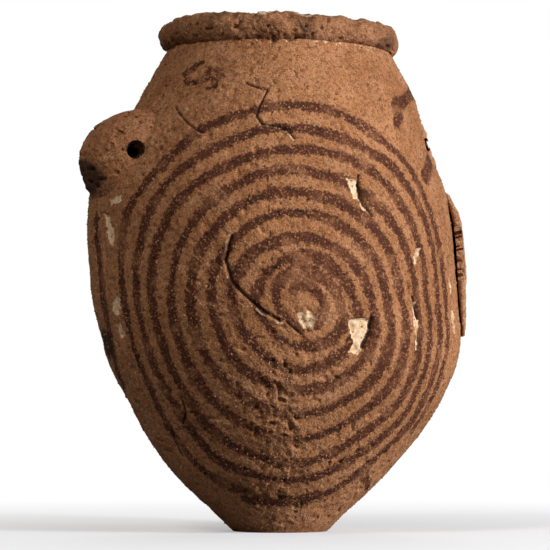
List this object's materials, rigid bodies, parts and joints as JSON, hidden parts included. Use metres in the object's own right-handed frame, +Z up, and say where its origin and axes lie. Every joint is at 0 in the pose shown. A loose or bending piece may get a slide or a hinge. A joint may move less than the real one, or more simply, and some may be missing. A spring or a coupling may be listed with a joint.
{
  "type": "painted pottery jar",
  "caption": "Hand-built ovoid jar with a rolled rim, a pierced shoulder lug, the stump of a second lug, a small flat foot and a large painted spiral.",
  "frame": {"origin": "middle of the flat resting face under the foot", "axes": "+Z up through the mouth, -Y towards the viewer who sees the painted spiral, +X to that viewer's right"},
  "size_m": [0.1066, 0.0994, 0.1411],
  "materials": {
    "painted_clay": "matt, gritty, painted with red-brown iron oxide",
    "rim_clay": "matt, gritty, worn",
    "lug_clay": "matt, gritty, sooted below",
    "broken_clay": "matt, broken face"
  },
  "bodies": {
    "root": {"base_pad": "painted_clay", "wall_coil_1": "painted_clay", "wall_coil_2": "painted_clay", "wall_coil_3": "painted_clay", "wall_coil_4": "painted_clay", "wall_coil_5": "painted_clay", "wall_coil_6": "painted_clay", "rim_roll": "rim_clay", "left_lug": "lug_clay", "right_lug_stump": "broken_clay", "lifted_skin_flake": "broken_clay"}
  },
  "joints": []
}
